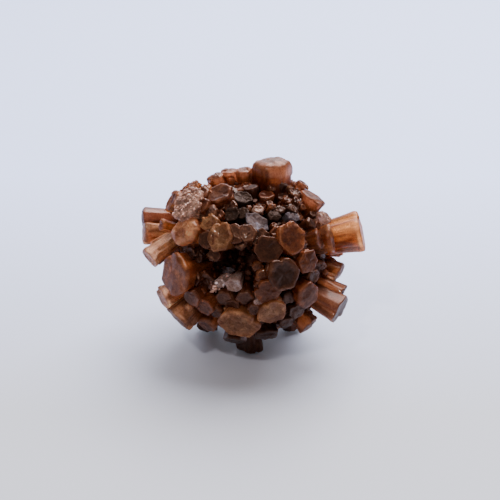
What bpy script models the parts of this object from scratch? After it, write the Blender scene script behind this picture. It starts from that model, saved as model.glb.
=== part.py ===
"""Aragonite sputnik: a ball of six-sided aragonite crystals that grew outwards from one heart.

Run with blender --background --python part.py. Sizes are in millimetres until they reach the mesh.
The origin is on the surface that the ball rests on, under the middle of its box, with +Z up.
The front of the specimen faces -Y. The crystals of the front half are placed by hand, as they
are seen from VIEW_ELEVATION above the horizon. The hidden half is filled by a rule.
"""

import math
import random

import bmesh
import bpy
from mathutils import Matrix, Vector

MM = 0.001

# The ball: its heart, the lumpy core around it, and the hollow in the core's front (its middle as
# the front crystals are described, its half angle in radians and its depth).
HEART_HEIGHT = 20.0
CORE_RADIUS = 13.4
CORE_LUMP = 0.4
CORE_WAVES = (9, 4, 8, -5)
ROOT_RADIUS = 10.6
HOLLOW = (-4.2, -2.0, 12.0)
HOLLOW_SPREAD = 0.46
HOLLOW_DEPTH = 2.8

# The place that the front crystals are described from.
VIEW_ELEVATION = math.radians(25)
VIEW_DISTANCE = 270.0

# The form of one crystal.
SIDES = 6
CORNER_SWING = 0.07
CORNER_STEP = 2.4
ROOT_TAPER = 0.62
NOTCH_FROM_WIDTH = 5.0
NOTCH_DEPTH = 0.15
NOTCH_HALF = 0.13
PHASE_STEP = 1.7
SIDEWAYS = 0.75

# The outline that the front view shows: the distance from the heart at each angle, anticlockwise
# from the right. No crystal that a rule places reaches past it.
OUTLINE = [
    (0, 20.0), (20, 16.5), (40, 17.0), (55, 16.5), (70, 18.0), (90, 16.8), (115, 15.8),
    (130, 18.0), (150, 19.0), (168, 21.0), (182, 20.5), (192, 18.5), (215, 18.8), (235, 18.0),
    (255, 18.6), (270, 19.2), (285, 17.6), (300, 16.8), (320, 18.0), (340, 17.0), (352, 15.0),
    (360, 20.0),
]
OUTLINE_MARGIN = 0.35
SHORTEST = 3.4

# The rules that place crystals in seeded random directions: how many are tried, how far from the
# heart they reach, how wide they are from the first tried to the last, and how close they stand.
# Those that point down stop a few steps above the surface, by half a width's share of their slant.
FILL_SEED = 11
DEPTH_SHARE = (0.85, 1.0)
LEAN = 1.6
FLOOR_GAP = 0.6
FLOOR_STEP = 0.35
FLOOR_STEPS = 4
HALF_WIDTH = 0.54
LONG_TRIES = 1400
LONG_REACH = (16.8, 21.8)
LONG_WIDTHS = (7.8, 3.2)
LONG_SPACING = 0.42
LONG_LIMIT = 3.0
SHORT_TRIES = 2400
SHORT_REACH = (14.6, 16.2)
SHORT_WIDTHS = (4.2, 2.4)
SHORT_SPACING = 0.35

# Front crystals: cap centre (right, up, towards the viewer) from the heart, then width and depth of
# the section, its turn in degrees, and where the axis starts if it doesn't run from the heart.
FRONT = [
    # the crown
    ((4.1, 18.8, 7.5), 8.3, 8.0, 0, (4.6, -3.0, 0.6)),
    ((-7.5, 16.0, 6.0), 3.8, 3.6, 0, (-4.4, 5.0, 1.6)),
    ((-4.7, 16.8, 5.6), 3.9, 4.0, 20, (-2.9, 5.0, 1.4)),
    ((-1.7, 17.0, 5.8), 4.0, 3.8, 0, (-1.1, 5.0, 1.6)),
    ((-6.8, 12.0, 13.4), 5.4, 5.0, 12, None),
    ((-2.0, 11.2, 12.2), 4.4, 3.2, -20, None),
    ((-9.6, 13.2, 10.0), 2.6, 2.4, 0, None),
    # the upper left shoulder
    ((-13.4, 10.0, 13.2), 7.8, 8.0, 20, None),
    ((-13.2, 12.8, 9.4), 5.4, 4.8, 0, None),
    ((-16.4, 10.6, 8.4), 5.0, 4.8, 30, None),
    ((-10.2, 12.0, 12.4), 3.4, 3.4, 10, None),
    ((-10.2, 9.6, 14.8), 3.4, 3.0, 25, None),
    ((-8.8, 8.6, 15.4), 3.2, 3.2, 0, None),
    ((-6.6, 9.3, 13.6), 2.6, 2.2, 15, None),
    ((-4.4, 9.4, 14.0), 3.0, 2.6, 0, None),
    # the left side
    ((-22.2, 6.9, 2.5), 4.3, 4.8, 0, (-7.0, 6.6, 0.0)),
    ((-22.1, 3.9, 3.5), 4.9, 5.0, 15, (-7.0, 3.2, 0.4)),
    ((-18.6, 5.6, 9.6), 2.6, 2.4, 0, None),
    ((-14.4, 4.5, 15.0), 7.2, 5.8, 0, None),
    ((-20.8, -1.4, 6.5), 4.9, 4.4, 20, (-13.2, 4.6, 3.4)),
    ((-16.0, -4.8, 13.8), 9.4, 8.2, 82, None),
    ((-18.2, -9.3, 8.0), 5.2, 4.6, 10, None),
    ((-15.0, -13.8, 7.8), 6.6, 5.8, 0, (-7.2, -5.8, 6.0)),
    # the middle
    ((-8.8, 6.0, 16.4), 4.0, 3.4, 10, None),
    ((-9.2, 2.5, 17.2), 3.8, 3.6, 25, None),
    ((-6.6, 3.0, 18.2), 5.3, 6.0, 0, (-3.4, 2.2, 9.4)),
    ((-7.8, -0.6, 16.2), 3.0, 2.8, 0, None),
    ((-3.7, 3.7, 17.6), 4.2, 4.4, 20, (-1.6, 3.0, 9.0)),
    ((-0.9, 3.9, 18.2), 3.8, 3.6, 8, (-0.4, 1.0, 9.6)),
    ((-2.2, 1.9, 16.6), 3.2, 2.8, 30, None),
    ((1.6, 3.0, 17.2), 4.0, 3.8, 15, None),
    ((3.3, 0.5, 18.4), 5.8, 5.6, 0, (1.2, 0.8, 9.6)),
    ((8.3, 2.9, 17.8), 6.2, 6.6, 25, None),
    ((5.4, 3.9, 16.6), 3.2, 3.0, 0, None),
    ((1.0, 6.2, 16.0), 5.2, 3.8, -35, (0.2, 2.2, 9.6)),
    ((-2.0, 8.0, 14.8), 2.8, 2.4, 20, None),
    ((-4.2, 7.7, 15.2), 3.6, 2.8, 0, None),
    ((-7.0, 7.6, 15.0), 2.8, 2.2, 0, None),
    ((1.2, 8.7, 14.4), 2.4, 2.0, 10, None),
    ((4.6, 7.5, 14.0), 2.8, 2.2, 0, None),
    ((8.4, 7.3, 12.8), 3.4, 1.8, -10, None),
    ((6.0, 8.9, 12.8), 2.4, 2.0, 20, None),
    # the dark hollow below the middle
    ((-12.8, -0.2, 14.2), 3.0, 2.6, 0, None),
    ((-11.2, -1.0, 14.4), 2.6, 2.2, 20, None),
    ((-12.2, -2.6, 13.4), 2.2, 2.0, 0, None),
    ((-5.4, -3.8, 11.6), 3.6, 1.4, 8, None),
    ((-9.8, -5.9, 13.6), 4.2, 4.0, 15, None),
    ((-11.8, -5.4, 13.6), 3.0, 3.4, 0, None),
    ((-3.8, -6.9, 15.2), 3.4, 2.7, -12, None),
    ((-6.6, -6.4, 14.4), 2.4, 2.0, 15, None),
    ((-7.9, -7.4, 13.8), 2.0, 1.8, 0, None),
    ((1.3, -3.0, 17.0), 2.6, 2.2, 0, None),
    ((2.2, -5.0, 17.0), 2.8, 3.0, 20, None),
    # the upper right
    ((12.4, 11.3, 7.6), 5.4, 5.0, 0, (8.2, 4.2, 4.8)),
    ((10.4, 14.0, 5.6), 2.6, 2.4, 0, (5.4, 7.0, 2.6)),
    ((8.8, 14.2, 4.6), 2.4, 2.2, 15, (4.8, 7.6, 1.6)),
    ((9.0, 12.4, 8.6), 3.0, 2.6, 0, None),
    ((7.4, 10.8, 11.0), 2.4, 2.0, 10, None),
    ((9.4, 10.6, 11.0), 2.2, 2.0, 25, None),
    ((8.6, 9.2, 12.2), 2.6, 2.2, 0, None),
    # the right arm
    ((22.2, 4.3, 4.0), 8.0, 7.0, 4, (6.0, 0.9, 1.6)),
    ((16.5, 2.8, 8.4), 6.4, 5.4, 24, (6.0, 1.0, 7.0)),
    ((14.1, 2.9, 11.2), 4.6, 4.4, 5, (5.6, 0.8, 9.0)),
    ((15.0, 7.4, 8.6), 3.4, 3.2, 10, (8.4, 3.0, 5.0)),
    ((12.2, 6.0, 11.6), 2.6, 2.2, 0, None),
    # the lower right
    ((6.5, -4.6, 18.4), 6.9, 6.8, 10, None),
    ((11.6, -2.0, 15.2), 4.8, 4.8, 0, None),
    ((9.6, -0.6, 14.8), 2.8, 2.6, 10, None),
    ((12.5, -5.0, 13.6), 3.0, 2.6, 0, None),
    ((18.2, -4.2, 3.5), 4.0, 4.6, 10, (8.6, 0.4, 1.0)),
    ((17.0, -5.8, 5.2), 2.4, 2.4, 0, (8.8, -2.0, 3.4)),
    ((18.4, -8.5, 6.0), 3.6, 3.8, 0, (8.4, -3.2, 3.6)),
    ((17.9, -11.7, 7.2), 6.4, 6.6, 8, (7.0, -5.8, 3.8)),
    ((11.6, -9.0, 14.2), 5.6, 5.6, 20, None),
    ((11.7, -15.0, 5.2), 4.6, 4.2, 10, (5.4, -7.6, 3.4)),
    ((7.6, -9.6, 13.8), 3.0, 3.0, 0, None),
    ((9.2, -12.2, 11.6), 3.8, 3.6, 15, None),
    # the lower front
    ((3.4, -8.2, 17.2), 5.6, 5.2, 5, None),
    ((4.1, -12.5, 15.2), 6.0, 5.8, 25, None),
    ((-2.8, -14.8, 13.0), 8.6, 7.6, 0, None),
    ((0.4, -11.8, 15.2), 2.8, 2.6, 0, None),
    ((1.5, -10.3, 16.2), 1.8, 1.6, 15, None),
    ((-1.4, -9.6, 15.6), 3.6, 3.4, 10, None),
    ((-4.0, -10.9, 14.4), 3.0, 2.8, 35, None),
    ((-5.8, -9.7, 14.4), 3.8, 3.6, 0, None),
    ((-12.4, -9.5, 12.8), 4.4, 4.2, 15, None),
    ((-9.9, -11.2, 13.0), 4.4, 4.0, 0, None),
    ((-7.6, -12.4, 12.8), 3.2, 3.0, 20, None),
    ((-9.2, -15.0, 8.6), 4.6, 4.2, 20, None),
    ((-3.6, -18.0, 6.0), 4.6, 4.2, 0, None),
    ((3.0, -17.2, 7.0), 5.0, 4.6, 20, None),
    ((7.2, -14.6, 8.2), 3.8, 3.6, 0, None),
]

# Feet, in the ball's own frame, across, back and up from the heart: cap centre, where the axis
# starts, width, depth and turn. Each is lengthened until it touches the surface. The first points
# straight down, its flat cap on the surface between the lowest corners of the other three.
FEET = [
    ((-0.4, 0.0, -19.0), (-0.4, 0.0, -10.6), 4.8, 4.4, 10),
    ((-0.6, -3.8, -19.6), (-0.6, -6.6, -9.5), 6.4, 5.2, 30),
    ((-9.6, 4.3, -19.3), (-7.0, 3.2, -7.5), 5.0, 4.6, 24),
    ((8.6, 4.5, -19.3), (6.2, 3.3, -7.5), 5.2, 4.8, -28),
]


def clear_scene():
    for obj in list(bpy.data.objects):
        bpy.data.objects.remove(obj)


def from_view(right, up, towards):
    """A point described as it is seen from the front, in the ball's own frame from its heart."""
    shrink = 1 - towards / VIEW_DISTANCE
    across = right * shrink
    rise = up * shrink
    sine = math.sin(VIEW_ELEVATION)
    cosine = math.cos(VIEW_ELEVATION)
    return Vector((across, rise * sine - towards * cosine, rise * cosine + towards * sine))


def view_axes():
    sine = math.sin(VIEW_ELEVATION)
    cosine = math.cos(VIEW_ELEVATION)
    return Vector((1, 0, 0)), Vector((0, sine, cosine))


def section_axes(axis, turn):
    """A crystal's width lies along the view's right, or its up where the crystal points sideways."""
    right, up = view_axes()
    start = up if abs(axis.dot(right)) > SIDEWAYS else right
    start = (start - axis * start.dot(axis)).normalized()
    wide = Matrix.Rotation(math.radians(turn), 3, axis) @ start
    return wide, axis.cross(wide)


def corner(number, phase):
    angle = math.tau * number / SIDES
    swing = 1 + CORNER_SWING * math.sin(CORNER_STEP * (number % SIDES) + phase)
    return Vector((math.cos(angle), math.sin(angle))) * swing


def section(width, phase):
    """A six-sided outline of about unit radius, with a twin's notch in one side of a wide crystal."""
    outline = []
    notched = int(phase * 3) % SIDES if width >= NOTCH_FROM_WIDTH else None
    for number in range(SIDES):
        here = corner(number, phase)
        following = corner(number + 1, phase)
        outline.append(here)
        if number == notched:
            middle = here.lerp(following, 0.5)
            outline.append(here.lerp(following, 0.5 - NOTCH_HALF))
            outline.append(middle * (1 - NOTCH_DEPTH))
            outline.append(here.lerp(following, 0.5 + NOTCH_HALF))
    return outline


def cap_corners(cap, root, width, depth, turn, phase, scale=1.0):
    """The corners of a crystal's cap, or of any section that is like it and lies at the point cap."""
    wide, deep = section_axes((cap - root).normalized(), turn)
    outline = section(width, phase)
    return [cap + (wide * (p.x * width / 2) + deep * (p.y * depth / 2)) * scale for p in outline]


def crystal_mesh(name, cap, root, width, depth, turn, phase):
    """A tapered six-sided column from root to cap, closed by flat faces."""
    top = cap_corners(cap, root, width, depth, turn, phase)
    foot = [root + (p - cap) * ROOT_TAPER for p in top]
    count = len(top)
    faces = [tuple(range(count - 1, -1, -1)), tuple(range(count, 2 * count))]
    for n in range(count):
        following = (n + 1) % count
        faces.append((n, following, count + following, count + n))
    mesh = bpy.data.meshes.new(name)
    mesh.from_pydata([p * MM for p in foot + top], [], faces)
    return mesh


def front_crystals():
    rows = []
    for number, (cap, width, depth, turn, start) in enumerate(FRONT):
        tip = from_view(*cap)
        root = from_view(*start) if start else tip.normalized() * ROOT_RADIUS
        rows.append((tip, root, width, depth, turn, PHASE_STEP * number))
    return rows


def lowest_corner(*row):
    return min(p.z for p in cap_corners(*row))


def foot_crystals(first):
    """The crystals that the ball rests on, each lengthened until its lowest corner is on the surface."""
    rows = []
    for number, (cap, start, width, depth, turn) in enumerate(FEET):
        tip = Vector(cap)
        root = Vector(start)
        axis = (tip - root).normalized()
        phase = PHASE_STEP * (first + number)
        tip += axis * ((lowest_corner(tip, root, width, depth, turn, phase) + HEART_HEIGHT) / -axis.z)
        rows.append((tip, root, width, depth, turn, phase))
    return rows


def outline_radius(angle):
    """How far from the heart the front view's outline runs at an angle in degrees."""
    for (low, near), (high, far) in zip(OUTLINE, OUTLINE[1:]):
        if low <= angle <= high:
            return near + (far - near) * (angle - low) / (high - low)
    return OUTLINE[0][1]


def longest_reach(direction, margin):
    """How far a crystal may reach before the front view would show it outside the outline."""
    right, up = view_axes()
    across = direction.dot(right)
    rise = direction.dot(up)
    angle = math.degrees(math.atan2(rise, across)) % 360
    return (outline_radius(angle) - margin) / max(math.hypot(across, rise), 0.1)


def floor_reach(direction, width, clear):
    """How far a crystal may reach before its lowest corner comes nearer to the surface than clear."""
    if direction.z >= 0:
        return math.inf
    aslant = math.hypot(direction.x, direction.y)
    return (HEART_HEIGHT - clear - HALF_WIDTH * width * aslant) / -direction.z


def open_to_long(direction, tip):
    """Long crystals fill only the half that the front view doesn't show."""
    return tip.dot(from_view(0, 0, 1)) < LONG_LIMIT


def open_to_short(direction, tip):
    """Short crystals grow anywhere but in the hollow."""
    return direction.angle(from_view(*HOLLOW)) > HOLLOW_SPREAD


def fill_crystals(placed, tries, reaches, widths, spacing, is_open):
    """Crystals in seeded random directions, the widest first, where they don't crowd those there."""
    chance = random.Random(FILL_SEED)
    rows = []
    taken = [(tip.normalized(), width) for tip, root, width, depth, turn, phase in placed]
    for number in range(tries):
        direction = Vector([chance.gauss(0, 1) for _ in range(3)]).normalized()
        width = widths[0] + (widths[1] - widths[0]) * number / tries
        clear = FLOOR_GAP + FLOOR_STEP * (1 + number % FLOOR_STEPS)
        reach = min(chance.uniform(*reaches), longest_reach(direction, width * OUTLINE_MARGIN),
                    floor_reach(direction, width, clear))
        depth = width * chance.uniform(*DEPTH_SHARE)
        turn = chance.uniform(0, 360 / SIDES)
        lean = Vector([chance.uniform(-LEAN, LEAN) for _ in range(3)])
        tip = direction * reach
        row = (tip, direction * ROOT_RADIUS + lean, width, depth, turn,
               PHASE_STEP * (len(placed) + len(rows)))
        gap = min(direction.angle(other) * reach - spacing * (width + wide) for other, wide in taken)
        if gap < 0 or reach < ROOT_RADIUS + SHORTEST or not is_open(direction, tip):
            continue
        if lowest_corner(*row) < FLOOR_GAP - HEART_HEIGHT:
            continue
        taken.append((direction, width))
        rows.append(row)
    return rows


def heart_place(rows):
    """Where the heart is, so that the box around every cap has its middle over the origin."""
    points = [p for row in rows for p in cap_corners(*row)]
    middle = [-(min(p[n] for p in points) + max(p[n] for p in points)) / 2 for n in (0, 1)]
    return Vector((middle[0], middle[1], HEART_HEIGHT))


def core_object():
    """The heart of the ball, a lumpy mass that every crystal is rooted in."""
    bpy.ops.mesh.primitive_ico_sphere_add(subdivisions=2, radius=CORE_RADIUS * MM)
    core = bpy.context.object
    core.name = "crystal_cluster"
    core.data.name = "crystal_cluster"
    hollow = from_view(*HOLLOW).normalized()
    for vertex in core.data.vertices:
        away = vertex.co.normalized()
        lump = (math.sin(CORE_WAVES[0] * away.x + CORE_WAVES[1] * away.z)
                + math.sin(CORE_WAVES[2] * away.y + CORE_WAVES[3] * away.x))
        dent = max(0.0, 1 - away.angle(hollow) / HOLLOW_SPREAD)
        vertex.co += away * (lump * CORE_LUMP - dent * HOLLOW_DEPTH) * MM
    return core


def crystal_object(name, row, place, collection):
    obj = bpy.data.objects.new(name, crystal_mesh(name, *row))
    obj.location = place
    obj.hide_render = True
    obj.display_type = "WIRE"
    collection.objects.link(obj)
    return obj


def shells(mesh):
    """The separate closed skins of a mesh, each a set of its faces."""
    waiting = set(mesh.faces)
    found = []
    while waiting:
        skin = set()
        edge = [waiting.pop()]
        while edge:
            face = edge.pop()
            skin.add(face)
            for neighbour in (link for side in face.edges for link in side.link_faces):
                if neighbour in waiting:
                    waiting.remove(neighbour)
                    edge.append(neighbour)
        found.append(skin)
    return found


def fused(core):
    """The mesh of the whole ball, with the pockets that neighbouring crystals seal off filled in."""
    graph = bpy.context.evaluated_depsgraph_get()
    mesh = bpy.data.meshes.new_from_object(core.evaluated_get(graph))
    work = bmesh.new()
    work.from_mesh(mesh)
    skins = sorted(shells(work), key=len)
    pockets = [face for skin in skins[:-1] for face in skin]
    bmesh.ops.delete(work, geom=pockets, context="FACES")
    work.to_mesh(mesh)
    work.free()
    return mesh


def aragonite():
    material = bpy.data.materials.new("aragonite")
    material.use_nodes = True
    shader = material.node_tree.nodes["Principled BSDF"]
    shader.inputs["Base Color"].default_value = (0.36, 0.15, 0.075, 1)
    shader.inputs["Roughness"].default_value = 0.35
    shader.inputs["Metallic"].default_value = 0.0
    return material


def build():
    clear_scene()
    columns = bpy.data.collections.new("columns")
    bpy.context.scene.collection.children.link(columns)

    rows = front_crystals()
    rows += foot_crystals(len(rows))
    rows += fill_crystals(rows, LONG_TRIES, LONG_REACH, LONG_WIDTHS, LONG_SPACING, open_to_long)
    rows += fill_crystals(rows, SHORT_TRIES, SHORT_REACH, SHORT_WIDTHS, SHORT_SPACING, open_to_short)
    heart = heart_place(rows) * MM
    for number, row in enumerate(rows):
        crystal_object(f"column_{number:03d}", row, heart, columns)

    core = core_object()
    core.location = heart
    core.data.materials.append(aragonite())
    fuse = core.modifiers.new("grown together", "BOOLEAN")
    fuse.operation = "UNION"
    fuse.operand_type = "COLLECTION"
    fuse.collection = columns
    fuse.solver = "EXACT"
    core.data = fused(core)
    core.modifiers.remove(fuse)


build()
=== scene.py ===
"""Aragonite sputnik: a ball of six-sided, orange-brown, translucent crystals on a pale floor.

Sizes are in millimetres until they reach a mesh. The long and short crystals stand where the solid
ball has them.
"""

import math
import random

import bmesh
import bpy
from mathutils import Matrix, Vector, noise


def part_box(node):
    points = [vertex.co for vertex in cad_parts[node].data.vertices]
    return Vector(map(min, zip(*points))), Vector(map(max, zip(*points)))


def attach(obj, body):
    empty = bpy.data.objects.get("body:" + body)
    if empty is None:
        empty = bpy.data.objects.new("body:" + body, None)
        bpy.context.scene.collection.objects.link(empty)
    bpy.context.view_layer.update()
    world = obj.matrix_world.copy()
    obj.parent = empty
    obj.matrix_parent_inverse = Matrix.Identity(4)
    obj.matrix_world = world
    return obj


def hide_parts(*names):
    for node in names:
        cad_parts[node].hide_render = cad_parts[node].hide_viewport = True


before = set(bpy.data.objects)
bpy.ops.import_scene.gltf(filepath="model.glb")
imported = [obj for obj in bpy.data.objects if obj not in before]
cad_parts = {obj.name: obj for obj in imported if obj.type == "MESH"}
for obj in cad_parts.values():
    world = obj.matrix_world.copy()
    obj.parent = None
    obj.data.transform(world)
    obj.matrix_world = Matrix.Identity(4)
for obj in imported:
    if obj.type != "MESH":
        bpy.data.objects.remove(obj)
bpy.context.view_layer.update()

# Camera, floor and light
# The ball stands on a plain pale sheet in a weak, warm tent of light. A broad lamp hangs above it, a
# little behind and to the right, a second one far behind, and a small one in front draws glints.
MM = 0.001
HEART_FROM_LEFT = 22.33
HEART_FROM_FRONT = 19.548
HEART_HEIGHT = 20.0
VIEW_ELEVATION = math.radians(25)
VIEW_DISTANCE = 270.0
PHOTO_PIXELS = 500
PHOTO_MM_PER_PIXEL = 0.2
HEART_PIXEL = (252, 252)
SENSOR = 36.0
NEAREST_SEEN = 10.0
FLOOR_HALF = 1500.0
FLOOR_DROP = 0.02
# The sheet's two colours are painted light: greyer and darker near the viewer, bluer and lighter behind.
FLOOR_NEAR_PAINTED_SHADE = (0.42, 0.42, 0.48, 1)
FLOOR_FAR_PAINTED_LIGHT = (0.58, 0.65, 0.98, 1)
FLOOR_PAINTED_FALLOFF = (-30.0, 90.0)
FLOOR_ROUGHNESS = 0.6
TENT_COLOUR = (1.0, 0.92, 0.85, 1)
TENT_STRENGTH = 0.45
LAMPS = {
    "broad lamp": {"place": (150, 240, 560), "size": 560, "power": 12.5, "colour": (0.95, 0.97, 1.0)},
    "back lamp": {"place": (-60, 900, 520), "size": 1000, "power": 9.0, "colour": (0.8, 0.87, 1.0)},
    "glint lamp": {"place": (-90, -260, 300), "size": 24, "power": 0.6, "colour": (1.0, 0.95, 0.88)},
}

ball_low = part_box("crystal_cluster")[0]
heart = Vector((ball_low[0] / MM + HEART_FROM_LEFT, ball_low[1] / MM + HEART_FROM_FRONT, HEART_HEIGHT))


def view_axes():
    """The directions that lie across and up in the picture."""
    return Vector((1, 0, 0)), Vector((0, math.sin(VIEW_ELEVATION), math.cos(VIEW_ELEVATION)))


def shown(name, data):
    obj = bpy.data.objects.new(name, data)
    bpy.context.scene.collection.objects.link(obj)
    return obj


def stand(name, data, place):
    """Stands a lamp or the camera at a place in millimetres and turns it to the heart."""
    obj = shown(name, data)
    obj.location = place * MM
    obj.rotation_euler = (heart - place).to_track_quat("-Z", "Y").to_euler()
    return obj


def lamp(name, place, size, power, colour):
    light = bpy.data.lights.new(name, "AREA")
    light.size = size * MM
    light.energy = power
    light.color = colour
    stand(name, light, Vector(place))


def camera():
    right, up = view_axes()
    data = bpy.data.cameras.new("camera")
    data.sensor_width = SENSOR
    data.lens = SENSOR * VIEW_DISTANCE / (PHOTO_PIXELS * PHOTO_MM_PER_PIXEL)
    data.shift_x = (PHOTO_PIXELS / 2 - HEART_PIXEL[0]) / PHOTO_PIXELS
    data.shift_y = (HEART_PIXEL[1] - PHOTO_PIXELS / 2) / PHOTO_PIXELS
    data.clip_start = NEAREST_SEEN * MM
    bpy.context.scene.camera = stand("camera", data, heart + right.cross(up) * VIEW_DISTANCE)


def socket_of(sockets, key):
    """The socket with that number, or the one in use with that name."""
    if isinstance(key, int):
        return sockets[key]
    named = [socket for socket in sockets if socket.name == key]
    return next((socket for socket in named if socket.enabled), named[0])


def feed(tree, socket, value):
    """Links a value that another node works out, and sets one that is a plain value."""
    if isinstance(value, bpy.types.NodeSocket):
        tree.links.new(value, socket)
    else:
        socket.default_value = value


def feed_all(tree, node, values):
    for key, value in dict(values).items():
        feed(tree, socket_of(node.inputs, key), value)


def add(tree, kind, values=(), **settings):
    """Adds a node, makes its settings, feeds its inputs and gives back its outputs."""
    made = tree.nodes.new(kind)
    for name, value in settings.items():
        setattr(made, name, value)
    feed_all(tree, made, values)
    return made.outputs


def from_to(tree, value, low, high, start=0.0, end=1.0):
    """Maps low to start and high to end, and stays between them."""
    return add(tree, "ShaderNodeMapRange", {"Value": value, "From Min": low, "From Max": high,
                                            "To Min": start, "To Max": end})[0]


def mix(tree, share, first, second, kind="MIX"):
    """Colours mixed, or multiplied by the second one, by a share from 0 to 1."""
    return add(tree, "ShaderNodeMix", {0: share, 6: first, 7: second}, data_type="RGBA", blend_type=kind)[2]


def new_material(name):
    material = bpy.data.materials.new(name)
    material.use_nodes = True
    return material, material.node_tree, material.node_tree.nodes["Principled BSDF"]


def pale_floor():
    """A sheet painted bluer and lighter the farther it lies from the viewer: painted light that falls off
    towards the front.
    """
    edge = FLOOR_HALF * MM
    low = -FLOOR_DROP * MM
    mesh = bpy.data.meshes.new("floor")
    mesh.from_pydata([(-edge, -edge, low), (edge, -edge, low), (edge, edge, low), (-edge, edge, low)],
                     [], [(0, 1, 2, 3)])
    material, tree, shader = new_material("pale sheet")
    place = add(tree, "ShaderNodeSeparateXYZ", {0: add(tree, "ShaderNodeTexCoord")["Object"]})
    # Painted light: the sheet turns lighter and bluer towards the back.
    painted_falloff = from_to(tree, place["Y"], FLOOR_PAINTED_FALLOFF[0] * MM, FLOOR_PAINTED_FALLOFF[1] * MM)
    feed_all(tree, shader, {"Base Color": mix(tree, painted_falloff, FLOOR_NEAR_PAINTED_SHADE, FLOOR_FAR_PAINTED_LIGHT),
                            "Roughness": FLOOR_ROUGHNESS})
    mesh.materials.append(material)
    floor = shown("floor", mesh)


def tent():
    world = bpy.data.worlds.new("tent")
    world.use_nodes = True
    background = world.node_tree.nodes["Background"]
    background.inputs["Color"].default_value = TENT_COLOUR
    background.inputs["Strength"].default_value = TENT_STRENGTH
    bpy.context.scene.world = world


camera()
pale_floor()
tent()
for name, values in LAMPS.items():
    lamp(name, **values)

# The heart of the ball
# Brown aragonite, the oldest growth, from which every crystal stands out. It shows only as a dark
# crust deep between the crystals, set all over with tiny crystals of its own.
CORE_RADIUS = 13.4
CORE_FINENESS = 6
CORE_LUMP = 0.4
CORE_WAVES = (9, 4, 8, -5)
CORE_PITS = 0.35
CORE_PIT_SCALE = 9
HOLLOW = (-4.2, -2.0, 12.0)
HOLLOW_SPREAD = 0.46
HOLLOW_DEPTH = 2.8
# The heart's browns are darkened further by the painted shade near the heart.
CORE_BROWN = (0.075, 0.028, 0.016)
DRUSE_BROWN = (0.16, 0.075, 0.048)
DRUSE = {"per_mm2": 0.55, "widths": (0.5, 1.5), "lengths": (0.8, 1.8), "lean": 0.6, "seed": 4}
STUB_SIDES = 6
STUB_RINGS = ((-0.5, 0.4), (0.84, 0.5), (1.0, 0.38))
STUB_FLATNESS = 0.85
CLOUD_STRETCH = (1.0, 1.0, 0.3)
STREAK_STRETCH = (1.0, 1.0, 0.05)
WISP_WIDTH = 0.03
HEART_GRAIN = {"cloud_size": 1.6, "streak_size": 0.8, "grain_size": 0.3}
HEART_IOR = 1.6
HEART_GLOSS = 0.25
SHEEN_TINT = (0.9, 0.42, 0.28, 1)
# Over how many millimetres the brown near the heart, partly painted shade, fades out.
BROWN_AND_SHADE_SPAN = 3.5

# What each effect multiplies a crystal's colour by. The depth tint is brown near the heart, partly the
# stone's own and partly painted shade; the edge glow is painted light, and so is the rim part of the veins'
# tint.
TINTS = {
    "burnt": (0.42, 0.26, 0.2, 1), "bright": (1.35, 1.55, 1.9, 1), "ring": (0.5, 0.42, 0.38, 1),
    "cloud": (0.4, 0.3, 0.27, 1), "milk": (1.5, 1.75, 2.0, 1), "speck": (0.62, 0.52, 0.5, 1),
    "vein and rim highlight": (1.6, 1.9, 2.3, 1), "depth": (0.26, 0.14, 0.11, 1), "painted edge glow": (1.5, 1.35, 1.3, 1),
}


def from_view(right, up, towards):
    """A point described as it is seen in the picture, in the ball's own frame from its heart."""
    shrink = 1 - towards / VIEW_DISTANCE
    across = right * shrink
    rise = up * shrink
    sine = math.sin(VIEW_ELEVATION)
    cosine = math.cos(VIEW_ELEVATION)
    return Vector((across, rise * sine - towards * cosine, rise * cosine + towards * sine))


def note(mesh, name, rows):
    """Writes a number or a vector for each point of a mesh."""
    if isinstance(rows[0], (int, float)):
        mesh.attributes.new(name, "FLOAT", "POINT").data.foreach_set("value", rows)
    else:
        flat = [x for row in rows for x in row]
        mesh.attributes.new(name, "FLOAT_VECTOR", "POINT").data.foreach_set("vector", flat)


def core_mesh():
    """The lumpy ball with the hollow in its front, worn inwards by small pits."""
    work = bmesh.new()
    bmesh.ops.create_icosphere(work, subdivisions=CORE_FINENESS, radius=CORE_RADIUS)
    hollow = from_view(*HOLLOW).normalized()
    for vertex in work.verts:
        away = vertex.co.normalized()
        lump = (math.sin(CORE_WAVES[0] * away.x + CORE_WAVES[1] * away.z)
                + math.sin(CORE_WAVES[2] * away.y + CORE_WAVES[3] * away.x))
        dent = max(0.0, 1 - away.angle(hollow) / HOLLOW_SPREAD)
        pit = CORE_PITS * (1 + noise.fractal(away * CORE_PIT_SCALE, 0.6, 2.0, 4))
        vertex.co = (heart + vertex.co + away * (lump * CORE_LUMP - dent * HOLLOW_DEPTH - pit)) * MM
    mesh = bpy.data.meshes.new("heart")
    work.to_mesh(mesh)
    work.free()
    mesh.shade_smooth()
    note(mesh, "grain", [v.co / MM for v in mesh.vertices])
    for name, value in (("body_colour", CORE_BROWN), ("cap_colour", DRUSE_BROWN), ("crust", 1.0),
                        ("streaky", 0.5), ("dark", CORE_RADIUS), ("tip", 0.0), ("spread", 0.0)):
        note(mesh, name, [value] * len(mesh.vertices))
    return mesh


def stub():
    """A tiny blunt crystal one unit long and wide, for every crust."""
    mesh = bpy.data.meshes.new("stub")
    places = []
    for height, radius in STUB_RINGS:
        for n in range(STUB_SIDES):
            angle = math.tau * n / STUB_SIDES
            places.append((math.cos(angle) * radius, math.sin(angle) * radius, height))
    faces = [tuple(range(STUB_SIDES - 1, -1, -1))]
    for low in range(0, len(places) - STUB_SIDES, STUB_SIDES):
        for n in range(STUB_SIDES):
            m = (n + 1) % STUB_SIDES
            faces.append((low + n, low + m, low + STUB_SIDES + m, low + STUB_SIDES + n))
    faces.append(tuple(range(len(places) - STUB_SIDES, len(places))))
    mesh.from_pydata(places, [], faces)
    return bpy.data.objects.new("stub", mesh)


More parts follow.
